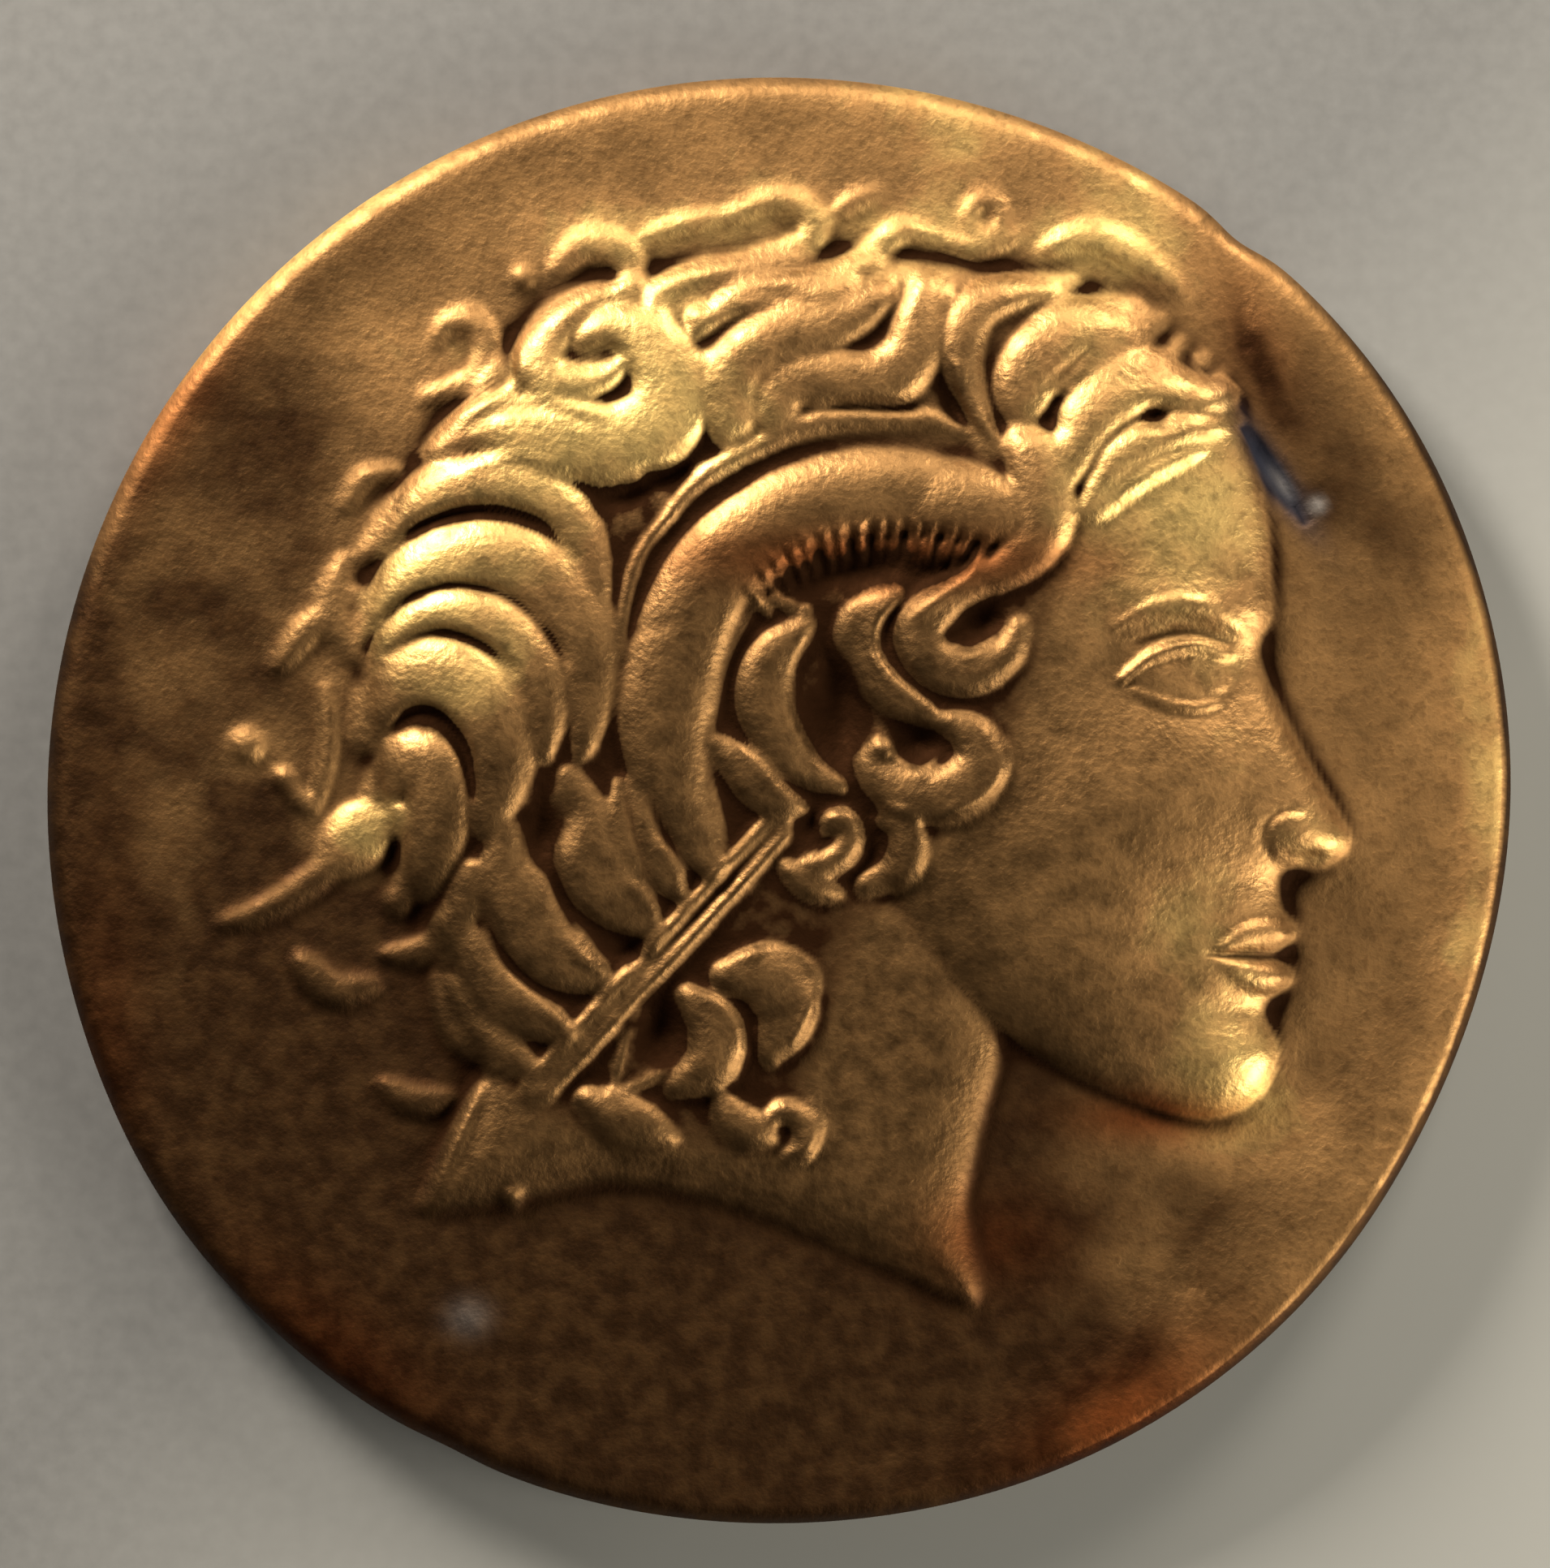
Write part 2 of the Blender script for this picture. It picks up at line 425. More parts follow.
# Cuts between the locks: the points along each one, its half-width and its depth in metres
CUTS = (
    (((7.1, 53.9), (13, 54), (19.4, 53.4)), 1.1, 0.00013),
    (((-8.6, 71), (-4, 72.6), (1, 73.2), (6.5, 73.3)), 0.8, 0.00006),
    (((-8.4, 66.8), (-4.4, 68.8), (0, 69.4), (5.4, 68)), 0.9, 0.00007),
    (((-18.2, 45), (-15, 44.2), (-12, 45.4)), 1.6, 0.00012),
    (((-42.5, 50.8), (-37, 53.6), (-31, 53.8), (-25.6, 51.8)), 0.8, 0.00008),
    (((-19.8, 23.2), (-11.9, 24.8)), 0.8, 0.00003),
    (((35.6, 57), (38, 57.4), (41, 60), (43.6, 62.4)), 1.1, 0.00008),
    (((44.5, 46.5), (41.6, 43), (41.6, 40.4)), 0.9, 0.00006),
    (((-50.2, 36.6), (-44.1, 39.6), (-36.7, 40), (-28.4, 37.2)), 0.75, 0.00009),
    (((-56.5, 20.1), (-53.2, 25), (-49, 28.2), (-43.7, 29.6), (-38.6, 28.8)), 0.8, 0.00010),
    (((-31.4, 24), (-28, 18.6)), 0.8, 0.00006),
    (((-53.2, 19.8), (-49, 22.6), (-44.9, 23.2), (-39.1, 21), (-35, 17.4)), 0.75, 0.00009),
    (((-53.6, 8.6), (-50.7, 12), (-47.3, 12.6), (-44.1, 10.1), (-42, 6), (-41.2, 0)), 0.9, 0.00012),
    (((-31, -3), (-29.6, -11), (-27.2, -18.4)), 0.8, 0.00010),
    (((-39.9, -12.8), (-36.6, -21.4), (-29.4, -28)), 0.8, 0.00010),
    (((-21.8, 9), (-19.4, -3), (-16.4, -12.4)), 0.7, 0.00009),
    (((-17.4, 2), (-14.4, -5.4), (-10.2, -10.8)), 0.7, 0.00009),
)
# Hollows between the locks: centre, half-lengths, depth in metres and tilt in degrees
HOLLOWS = (
    ((8.6, 13.5), (3.6, 9), 0.00028, -8),
    ((10, 31.6), (8, 1.8), 0.00014, 10),
    ((22.4, 31), (5, 2), 0.00014, 10),
    ((19.2, 8), (2.8, 2), 0.00020, -20),
    ((28, 24.6), (2.6, 2.2), 0.00016, 0),
    ((-20, 42), (3.4, 1.6), 0.00014, 20),
    ((-5, 49.4), (3.4, 1.2), 0.00010, 20),
    ((35, 51.4), (4.2, 1.4), 0.00012, 0),
    ((25, 54), (2, 3.4), 0.00012, 20),
    ((52, 52.3), (1.7, 1.2), 0.00014, -20),
    ((-16, -31.5), (3, 4), 0.00024, 0),
    ((-30.6, -3.6), (3, 5.4), 0.00020, -35),
    ((4.6, -3), (2, 1.8), 0.00012, 0),
    ((-19.8, -20.6), (2.6, 1.4), 0.00016, -30),
)
# The flat band that holds the hair at the nape, with a raised lip along each side
BAND = ((0.6, -3.2), (-32.4, -39.2))
BAND_HALF_WIDTH = 2.6
BAND_LIP_OFFSET = 1.8
# The ring curl above the crown, a pair of short strokes below it, and a row of beads by the comb
RING_CURL = (28.9, 80)
RING_CURL_RADIUS = 2.4
STROKES = (((21.4, 67.2), (21.8, 71.2)), ((23.4, 67.2), (23.8, 71.2)))
COMB_BEADS = ((-2.3, 28), (4.1, 26.1))
# Beads: across, up and radius
BEADS = ((48.9, 67.6, 1.8), (51.5, 64.8, 2.1), (54.8, 62, 2), (58.2, 60.2, 1.8),
         (60.6, 58.1, 1.6), (62.2, 55.9, 1.5), (-72.2, 7.8, 2.6), (-66.9, 3.1, 1.6), (-51.5, -13.5, 2.3),
         (-8.8, 59.6, 2.4), (-10.3, 66, 1.8), (-34.4, 71.7, 1.8), (-35.9, -54.2, 1.5), (15, 7.4, 1.5))

locks = Relief()
for points, half_width, belly, tip in STANDING_LOCKS:
    locks.rib(points, half_width, LOCK_HEIGHT * min(1.1, 0.55 + 0.12 * half_width), belly, (tip, 0.7 * tip))
for points, half_width, belly, tip in BACK_LOCKS:
    locks.rib(points, half_width, BACK_LOCK_HEIGHT, belly, (tip, 0.7 * tip), fullness=(0.9, 0.26))
for points, half_width, belly, tip in LOOSE_LOCKS:
    locks.rib(points, half_width, LOCK_HEIGHT * (0.4 + 0.12 * half_width), belly, (tip, 0.7 * tip))
locks.rib(GREAT_LOCK, GREAT_LOCK_HALF_WIDTH, LOCK_HEIGHT * 1.35, 0.65, (0.72, 0.15), fullness=(0.28, 0.7))
locks.rib(RIDGE_OVER_GREAT_LOCK, RIDGE_HALF_WIDTH, LOCK_HEIGHT * 0.65)
locks.rib(arc(RING_CURL, RING_CURL_RADIUS, 0, 360, 13), 1.1, LOCK_HEIGHT * 0.5, ends=(1, 1))
for stroke in STROKES:
    locks.rib(stroke, 1, LOCK_HEIGHT * 0.6)
comb = Relief()
roots = curve_through(TEETH_ROOTS)
for index in range(TEETH):
    root = roots[round(index * (len(roots) - 1) / (TEETH - 1))]
    outwards = (root - TEETH_CENTRE) / hypot(*(root - TEETH_CENTRE))
    comb.rib([root + 0.4 * outwards, root - TOOTH_LENGTH * outwards], TOOTH_HALF_WIDTH, LOCK_HEIGHT * 0.4,
             ends=(0.5, 0.5))
for bead in np.linspace(*COMB_BEADS, 4):
    locks.pellet(bead, 0.9, LOCK_HEIGHT * 0.6)
for across, up, radius in BEADS:
    locks.pellet((across, up), radius, LOCK_HEIGHT * 0.7)
band_start, band_end = np.array(BAND)
band_middle = (band_start + band_end) / 2
band_side = np.array((band_start[1] - band_end[1], band_end[0] - band_start[0]))
band_side /= hypot(*band_side)
locks.rib([band_start, band_middle, band_end], BAND_HALF_WIDTH, LOCK_HEIGHT * 0.45, ends=(1, 1),
          fullness=(0.6, 0.6))
locks.line([band_start, band_middle], 0.9, -LIP_HEIGHT)
for offset in (-BAND_LIP_OFFSET, BAND_LIP_OFFSET):
    locks.line([band_start + offset * band_side, band_end + offset * band_side], 0.9, LIP_HEIGHT)
for points, half_width in LIPS:
    locks.line(points, half_width, LIP_HEIGHT)
cuts = Relief()
for points, half_width, depth in CUTS:
    cuts.rib(points, half_width, depth, ends=(0.4, 0.4), fullness=(0.8, 0.8))
for centre, radii, depth, tilt in HOLLOWS:
    locks.swell(centre, radii, -depth, tilt)
relief.height += locks.blurred(LOCK_SOFTNESS) + comb.blurred(COMB_SOFTNESS) - cuts.blurred(CUT_SOFTNESS)
relief.height = np.maximum(relief.height, 0)


# The reverse is sunk in a shallow dish and rests on the flat ring round it.
# It is struck with a plain horse running over a wheel, from a shallower die than the head's.
REST_RING_INNER = 0.0083
REST_RING_OUTER = 0.0097
UNDERSIDE_DISH = 0.00030
UNDERSIDE_RELIEF = 0.00024
UNDERSIDE_EDGE_LIFT = 0.00010
UNDERSIDE_SOFTNESS = 0.00004
WHEEL = (-3, -44)
WHEEL_RADIUS = 12
SPOKES = 4
MANE_START, MANE_STEP, MANE_TUFT = np.array(((13, 19), (3.7, 4.8), (-8, 5)))
MANE_TUFTS = 6
DOTS = 7
DOTS_RADIUS = 57
# Each leg's hip or shoulder, knee and hoof
LEGS = (((20, 2), (39, -1), (42, -16)), ((12, -2), (25, -13), (33, -27)),
        ((-24, 2), (-17, -13), (-30, -25)), ((-27, 2), (-34, -12), (-49, -17)))

horse = Relief()
horse.rib([(-22, 5), (-8, 3), (4, 3), (16, 5)], 9, UNDERSIDE_RELIEF * 0.9, ends=(1, 1))
horse.pellet((-22, 5), 12.5, UNDERSIDE_RELIEF)
horse.pellet((16, 5), 12.5, UNDERSIDE_RELIEF)
horse.rib([(14, 9), (27, 20), (36, 34), (39, 40)], 9, UNDERSIDE_RELIEF * 0.95, belly=0.05, ends=(1, 0.5))
horse.rib([(34, 40), (42, 37), (52, 27), (54, 23)], 5.2, UNDERSIDE_RELIEF * 0.9, belly=0.2, ends=(0.7, 0.6))
horse.rib([(34, 41), (34, 48)], 2, UNDERSIDE_RELIEF * 0.8)
for hip, knee, hoof in LEGS:
    horse.rib([hip, knee], 5.2, UNDERSIDE_RELIEF * 0.95, belly=0.05, ends=(1, 0.45))
    horse.rib([knee, hoof], 2.6, UNDERSIDE_RELIEF * 0.8, ends=(0.9, 0.7))
    horse.pellet(knee, 3.3, UNDERSIDE_RELIEF * 0.9)
    horse.pellet(hoof, 3.1, UNDERSIDE_RELIEF * 0.85)
horse.rib([(-30, 10), (-43, 17), (-56, 10), (-58, -6)], 3, UNDERSIDE_RELIEF * 0.8, ends=(0.6, 0.3))
for index in range(MANE_TUFTS):
    root = MANE_START + MANE_STEP * index
    horse.rib([root, root + MANE_TUFT], 1.7, UNDERSIDE_RELIEF * 0.75)
horse.rib(arc(WHEEL, WHEEL_RADIUS, 0, 360, 25), 2.1, UNDERSIDE_RELIEF * 0.8, ends=(1, 1))
horse.pellet(WHEEL, 3.2, UNDERSIDE_RELIEF * 0.85)
for tip in arc(WHEEL, WHEEL_RADIUS - 1, 45, 45 + 360 * (SPOKES - 1) / SPOKES, SPOKES):
    horse.rib([WHEEL, tip], 1.5, UNDERSIDE_RELIEF * 0.6, ends=(1, 1))
for dot in arc((0, 0), DOTS_RADIUS, 66, 144, DOTS):
    horse.pellet(dot, 2.7, UNDERSIDE_RELIEF * 0.7)
horse.height = horse.blurred(UNDERSIDE_SOFTNESS)


def reverse_field(across, up):
    """The underside's flat ring and dish."""
    radius = np.hypot(across, up) * HUNDREDTH
    edge = flan_radius(np.arctan2(up, across))
    dish = UNDERSIDE_DISH * (1 - smooth_step(radius, 0.55 * REST_RING_INNER, REST_RING_INNER))
    lift = UNDERSIDE_EDGE_LIFT * np.clip((radius - REST_RING_OUTER) / (edge - REST_RING_OUTER), 0, 1)**2
    return dish + lift


# Wear and damage: the field's slow waves and fine pitting, the sharp pit by the forehead,
# a faint channel in from the notch in the rim, and a few scratches low on the right.
WAVES = ((0.0017, 0.000007), (0.0006, 0.000004), (0.00022, 0.0000025))
WAVES_SOFTNESS = 0.00006
SMOOTH_ABOVE = 0.0003
# Each mark's points, its half-width and its rise, or its depth below zero
MARKS = (
    (((63.8, 51.2), (67, 46.6), (72.7, 38.3)), 2, -0.00010),
    (((65, 48.5), (68.5, 44), (71, 41)), 0.9, 0.00004),
    (((59, 79), (62.6, 71), (63.9, 62)), 2.6, -0.00004),
    (((66, 66), (68.5, 60), (69.5, 55)), 2, 0.00003),
    (((48, -67.4), (50.8, -66.9)), 0.5, -0.00003),
    (((55, -66.3), (58.8, -65.9)), 0.6, -0.00004),
)
PITS = ((84, -44), (83, -46.5), (80, -51), (81.5, -49))
PIT_DEPTH = 0.00003
dice = np.random.default_rng(7)


def waves(wavelength, rise):
    """A smooth uneven surface, with waves of about one length, in metres."""
    coarse = int(2.2 * FLAN_RADIUS / wavelength)
    values = dice.normal(size=(coarse, coarse))
    ticks = np.linspace(-RELIEF_REACH, RELIEF_REACH, coarse)
    return rise * read_between(ticks, values, relief.across, relief.up)


bare = np.clip(1 - relief.height / SMOOTH_ABOVE, 0.4, 1)
rough = Relief()
for wavelength, rise in WAVES:
    rough.height += waves(wavelength, rise) * bare
relief.height += rough.blurred(WAVES_SOFTNESS)
for points, half_width, rise in MARKS:
    relief.line(points, half_width, rise)
for pit in PITS:
    relief.swell(pit, (1.1, 1), -PIT_DEPTH)


# The struck coin, one piece of gold: a disc of cells for each face, lifted by its relief, and rows of
# cells round the edge. A disc is a square grid drawn out to the round, with the head side's cells
# crowded a little towards the middle, where the carving is.
OBVERSE_CELLS = 274
REVERSE_CELLS = OBVERSE_CELLS // 2
EDGE_ROWS = 4
EDGE_SQUARENESS = 2.6
CROWDING = 0.12


def disc(cells):
    """Places on a round face: the share of the way out, and the direction, row by row."""
    ticks = np.linspace(-1, 1, cells + 1)
    east, north = [part.ravel() for part in np.meshgrid(ticks, ticks)]
    reach = np.maximum(np.abs(east), np.abs(north))
    wide = np.abs(east) >= np.abs(north)
    wide_turn = pi / 4 * north / np.where(east == 0, 1, east) + np.where(east < 0, pi, 0)
    tall_turn = pi / 2 - pi / 4 * east / np.where(north == 0, 1, north) + np.where(north < 0, pi, 0)
    return reach, np.where(wide, wide_turn, tall_turn)


def border(cells):
    """The disc's outer points in order, anticlockwise from the lower left."""
    side = np.arange(cells)
    row = cells + 1
    return np.concatenate([side, side * row + cells, cells * row + cells - side, (cells - side) * row])


def disc_faces(cells, first, upwards):
    """The disc's cells, as faces."""
    row = cells + 1
    corner = (np.arange(cells)[:, None] * row + np.arange(cells)[None, :]).ravel() + first
    faces = np.column_stack([corner, corner + 1, corner + row + 1, corner + row])
    return faces if upwards else faces[:, ::-1]


def coin_points():
    """The points of the coin's two faces."""
    reach, direction = disc(OBVERSE_CELLS)
    reach = reach * (1 - CROWDING + CROWDING * reach**6)
    radius = reach * (flan_radius(direction) - EDGE_ROUNDING)
    across, up = radius * np.cos(direction) / HUNDREDTH, radius * np.sin(direction) / HUNDREDTH
    top = obverse_field(across, up) + relief.at(across, up)
    obverse = np.column_stack([across * HUNDREDTH, up * HUNDREDTH, top])

    reach, direction = disc(REVERSE_CELLS)
    radius = reach * (flan_radius(direction) - EDGE_ROUNDING)
    across, up = radius * np.cos(direction) / HUNDREDTH, radius * np.sin(direction) / HUNDREDTH
    bottom = reverse_field(across, up) - horse.at(across, -up)
    reverse = np.column_stack([across * HUNDREDTH, up * HUNDREDTH, bottom])
    return obverse, reverse


obverse, reverse = coin_points()
rim_points = obverse[border(OBVERSE_CELLS)]
rim_direction = np.arctan2(rim_points[:, 1], rim_points[:, 0])
rim_radius = np.hypot(rim_points[:, 0], rim_points[:, 1])
foot = reverse_field(rim_points[:, 0] / HUNDREDTH, rim_points[:, 1] / HUNDREDTH)
rows = []
for index in range(1, EDGE_ROWS + 1):
    level = 1 - 2 * index / (EDGE_ROWS + 1)
    radius = rim_radius + EDGE_ROUNDING * np.sqrt(1 - abs(level)**EDGE_SQUARENESS)
    height = (rim_points[:, 2] + foot) / 2 + (rim_points[:, 2] - foot) / 2 * level
    rows.append(np.column_stack([radius * np.cos(rim_direction), radius * np.sin(rim_direction), height]))
places = np.vstack([obverse] + rows + [reverse])

around = 4 * OBVERSE_CELLS
loops = [border(OBVERSE_CELLS)]
loops += [len(obverse) + index * around + np.arange(around) for index in range(EDGE_ROWS)]
reverse_first = len(obverse) + EDGE_ROWS * around
reverse_loop = reverse_first + border(REVERSE_CELLS)
faces = disc_faces(OBVERSE_CELLS, 0, True).tolist()
faces += disc_faces(REVERSE_CELLS, reverse_first, False).tolist()
for upper, lower in zip(loops, loops[1:]):
    faces += np.column_stack([upper, lower, np.roll(lower, -1), np.roll(upper, -1)]).tolist()
last = loops[-1]
for index, point in enumerate(reverse_loop):
    following = reverse_loop[(index + 1) % len(reverse_loop)]
    first, middle, end = last[2 * index], last[2 * index + 1], last[(2 * index + 2) % around]
    faces += [[first, point, middle], [middle, point, following], [middle, following, end]]

shift = (places.max(axis=0) + places.min(axis=0)) / 2 * (1, 1, 0)
low, high = [np.array(corner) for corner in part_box("coin")]
places = np.clip(places - shift, low, high)

coin_mesh = bpy.data.meshes.new("struck_coin")
coin_mesh.from_pydata(places.tolist(), [], faces)
coin_mesh.validate()
coin_mesh.shade_smooth()
coin = bpy.data.objects.new("struck_coin", coin_mesh)
bpy.context.scene.collection.objects.link(coin)
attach(coin, "root")
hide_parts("coin")


# What the surface has gone through, at each point: how hollow it is, how toned, coppery, silvery or pale.
# Soil stays in the hollows, hands have polished the high places, and copper from the alloy has reddened
# parts of the rim and the places under the great lock and the jaw.
NEAR_REACH, NEAR_DEPTH = 0.00016, 0.00006
WIDE_REACH, WIDE_DEPTH = 0.0005, 0.00018
HOLLOW_EDGE = 0.00004
HAIR_EDGE = 0.0009
CLEFT_BELOW = 0.3 * LOCK_HEIGHT
CUT_CLEFT_DEPTH = 0.00009
HAIR_WORN_CLEAN = 0.75
UNDERSIDE_TONE = 0.35
# Soft patches: centre, half-lengths, strength, below zero where cleaner, and tilt in degrees
CLEFT_PATCHES = (((14, 32.5), (21, 3.4), 0.55, 0),)
TONED_PATCHES = (
    # On the field
    ((78, 46), (18, 26), 0.55, 0),
    ((-85, 0), (16, 38), -0.3, 0),
    ((-57, 61), (14, 12), -0.2, 0),
    ((46, -63), (14, 9), -0.22, 0),
    ((-20, -78), (60, 18), 0.2, 0),
    ((62, -44), (16, 10), -0.5, 0),
    ((65.5, 60.5), (11, 3), 0.45, -69),
    ((-8, 78), (34, 5), -0.35, 0),
    ((46, 74), (12, 6), -0.35, 0),
    ((-44, 62), (7, 7), -0.3, 0),
    ((-56, -4), (8, 7), -1, 0),
    ((-71, 6.5), (5, 4), -0.5, 0),
    # On the hair
    ((16, 12), (24, 24), 0.6, 0),
    ((-14, 2), (12, 22), 0.4, 0),
    ((-10, -36), (20, 16), 0.4, 0),
    ((-28, -16), (14, 12), 0.7, 0),
    ((-14, 16), (8, 14), 0.55, 0),
    ((-31, 4), (9, 13), 0.4, 0),
    ((-16, -21), (26, 4.5), 0.8, 48),
    ((14, 32), (22, 3.5), 1, 0),
    ((20, 62), (30, 9), 0.2, 0),
    ((-44, 24), (18, 22), -0.85, 0),
    ((-20, 53), (17, 13), -0.8, 0),
    # On the neck and the face
    ((10, -56), (22, 9), 0.3, 0),
    ((42, -12), (16, 16), -0.25, 0),
    ((56, 38), (13, 14), -0.4, 0),
    ((60, -28), (10, 16), -0.35, 0),
    # Where copper shows
    ((46, -84), (18, 7), -0.3, 30),
    ((-60, -78), (20, 6), -0.2, -40),
    ((30, -60), (10, 7), -0.15, 0),
)
COPPER_AT_RIM = (
    ((46, -84), (18, 7), 0.9, 30),
    ((-60, -76), (20, 8), 0.7, -40),
    ((-92, -36), (6, 26), 0.5, 0),
    ((-82, 53), (15, 4), 0.5, 57),
)
COPPER_ON_HEAD = (
    ((14, 33), (22, 4), 1, 0),
    ((30, -60), (10, 7), 0.7, 0),
    ((51, -43), (12, 3.6), 0.8, 0),
    ((66, 62), (12, 5), 0.35, -69),
)
SILVER_IN_PIT = (((68.2, 45), (8.6, 1.9), 1.3, -56),)
PALE_SPOTS = (
    ((69.4, 43.6), (2.4, 0.8), 0.25, -56),
    ((74.2, 40.6), (1.1, 1.1), 0.5, 0),
    ((-42, -70.5), (2.8, 2.4), 0.16, 0),
)


def set_attribute(name, values):
    """Gives the coin's mesh a number at each of its points."""
    attribute = coin_mesh.attributes.new(name, "FLOAT", "POINT")
    attribute.data.foreach_set("value", np.asarray(values, np.float32))


def hollowness(surface, across, up, spread):
    """How far each place lies below its surroundings, in metres, and below zero where it stands proud."""
    return read_between(surface.ticks, surface.blurred(spread) - surface.blurred(HOLLOW_EDGE), across, up)


whole_across, whole_up = (places + shift)[:, 0] / HUNDREDTH, (places + shift)[:, 1] / HUNDREDTH
is_under = np.arange(len(places)) >= reverse_first
is_edge = (np.arange(len(places)) >= len(obverse)) & ~is_under


def patches(rows):
    """Soft patches of the surface, added together."""
    total = np.zeros(len(places))
    for centre, radii, strength, tilt in rows:
        turn = radians(tilt)
        across, up = whole_across - centre[0], whole_up - centre[1]
        long_way = (across * cos(turn) + up * sin(turn)) / radii[0]
        short_way = (up * cos(turn) - across * sin(turn)) / radii[1]
        total += strength * np.exp(-(long_way**2 + short_way**2))
    return total


for name, reach, depth in (("hollow", NEAR_REACH, NEAR_DEPTH), ("wide_hollow", WIDE_REACH, WIDE_DEPTH)):
    hollow = np.where(is_under, hollowness(horse, whole_across, -whole_up, reach),
                      hollowness(relief, whole_across, whole_up, reach))
    set_attribute(name, np.where(is_edge, 0, hollow / depth))
raised = np.where(is_under, horse.at(whole_across, -whole_up) / UNDERSIDE_RELIEF,
                  relief.at(whole_across, whole_up) / (HAIR_HEIGHT + LOCK_HEIGHT))
set_attribute("raised", np.where(is_edge, 0, raised))

# The clefts: bare hair between the locks, and the cuts. Those of the crown are worn clean
hair = Relief()
hair.form(HAIR, 1, HAIR_EDGE)
lock_rise = locks.blurred(HOLLOW_EDGE) + comb.blurred(COMB_SOFTNESS)
carved = np.clip(1 - lock_rise / CLEFT_BELOW, 0, 1) * hair.height
carved = np.clip(carved + cuts.blurred(CUT_SOFTNESS) / CUT_CLEFT_DEPTH, 0, 1)
carved *= 1 - HAIR_WORN_CLEAN * smooth_step(relief.up + 0.25 * relief.across, 38, 52)
cleft = read_between(relief.ticks, carved, whole_across, whole_up) + patches(CLEFT_PATCHES)
set_attribute("cleft", np.where(is_under | is_edge, 0, np.clip(cleft, 0, 1)))

# The tone deepens towards the lower left. The rim is handled bright on the right and the upper left,
# and its outermost line on the right is dark
turned_to = np.arctan2(whole_up, whole_across)
from_rim = flan_radius(turned_to) / HUNDREDTH - np.hypot(whole_across, whole_up)
facing_right = np.clip(np.cos(turned_to - radians(-25)), 0, 1)**2
facing_left = np.exp(-((turned_to - radians(136)) / radians(20))**2)
toned = 0.15 + 0.85 * np.clip((75 - 0.62 * whole_across - 0.72 * whole_up) / 120, 0, 1)
toned += patches(TONED_PATCHES)
toned -= 0.25 * facing_right * smooth_step(-from_rim, -9, -4)
toned -= 0.8 * facing_left * smooth_step(-from_rim, -2.4, -1)
toned += 1.5 * facing_right * smooth_step(-from_rim, -1.8, -0.6)
set_attribute("toned", np.where(is_under, UNDERSIDE_TONE, toned))
copper = patches(COPPER_AT_RIM) + np.where(is_under, 0, patches(COPPER_ON_HEAD))
set_attribute("coppery", np.clip(copper, 0, 1))
set_attribute("silvery", np.where(is_under, 0, np.clip(patches(SILVER_IN_PIT), 0, 1)))
set_attribute("pale", np.where(is_under, 0, patches(PALE_SPOTS)))


# Worn gold alloyed with silver and copper: a soft metal, struck, handled and then long buried.
# To the eye the high places are a warm polished yellow, the field is a cloudy brown, and the hollows
# keep a dull dark film of soil.
def colour(hex_code):
    """An sRGB hex colour as the linear colour that a shader takes."""
    channels = [int(hex_code[start:start + 2], 16) / 255 for start in (1, 3, 5)]
    return tuple(c / 12.92 if c <= 0.04045 else ((c + 0.055) / 1.055)**2.4 for c in channels) + (1,)


def add(material, kind, inputs=None, **settings):
    """Adds a node with its settings, and gives each input a value or a link."""
    node = material.node_tree.nodes.new(kind)
    for name, value in settings.items():
        setattr(node, name, value)
    for name, value in (inputs or {}).items():
        if isinstance(value, bpy.types.NodeSocket):
            material.node_tree.links.new(value, node.inputs[name])
        else:
            node.inputs[name].default_value = value
    return node


def per_metre(size_mm):
    """A noise pattern's scale, from the size of its features in millimetres."""
    return 1000 / size_mm


gold = bpy.data.materials.new("worn_alloyed_gold")
gold.use_nodes = True
gold_shader = gold.node_tree.nodes["Principled BSDF"]
# The patterns are drawn out along the coin's height, so that steep sides don't break them up
place = add(gold, "ShaderNodeTexCoord").outputs["Object"]
position = add(gold, "ShaderNodeMapping", {"Vector": place, "Scale": (1, 1, 0.25)}).outputs[0]
reads = {name: add(gold, "ShaderNodeAttribute", attribute_name=name).outputs["Fac"]
         for name in ("cleft", "hollow", "wide_hollow", "raised", "toned", "coppery", "silvery", "pale")}

# Cloudy toning, a finer mottling, and the pores of a surface etched by the soil. Real pores are of
# 0.02 to 0.05 mm, too fine to show, so they are drawn 0.11 mm wide
clouds, mottle, grain = [
    add(gold, "ShaderNodeTexNoise",
        {"Vector": position, "Scale": per_metre(size_mm), "Detail": detail}).outputs["Fac"]
    for size_mm, detail in ((1.6, 5), (0.35, 4), (0.11, 3))]

# The tone: dark where the field is toned and cloudy, clean on what stands proud
field_tone = add(gold, "ShaderNodeMath", {0: clouds, 1: reads["toned"]}, operation="ADD").outputs[0]
field_tone = add(gold, "ShaderNodeMath", {0: mottle, 1: 0.25, 2: field_tone},
                 operation="MULTIPLY_ADD").outputs[0]
field_tone = add(gold, "ShaderNodeMapRange", {"Value": field_tone, "From Min": 0.18,
                                              "From Max": 1.38}).outputs[0]
clean = add(gold, "ShaderNodeMapRange", {"Value": reads["raised"], "From Min": 0.06,
                                         "From Max": 0.5}).outputs[0]
kept_tone = add(gold, "ShaderNodeMapRange", {"Value": clean, "To Min": 1, "To Max": 0.8}).outputs[0]
kept_tone = add(gold, "ShaderNodeMath", {0: field_tone, 1: kept_tone}, operation="MULTIPLY").outputs[0]
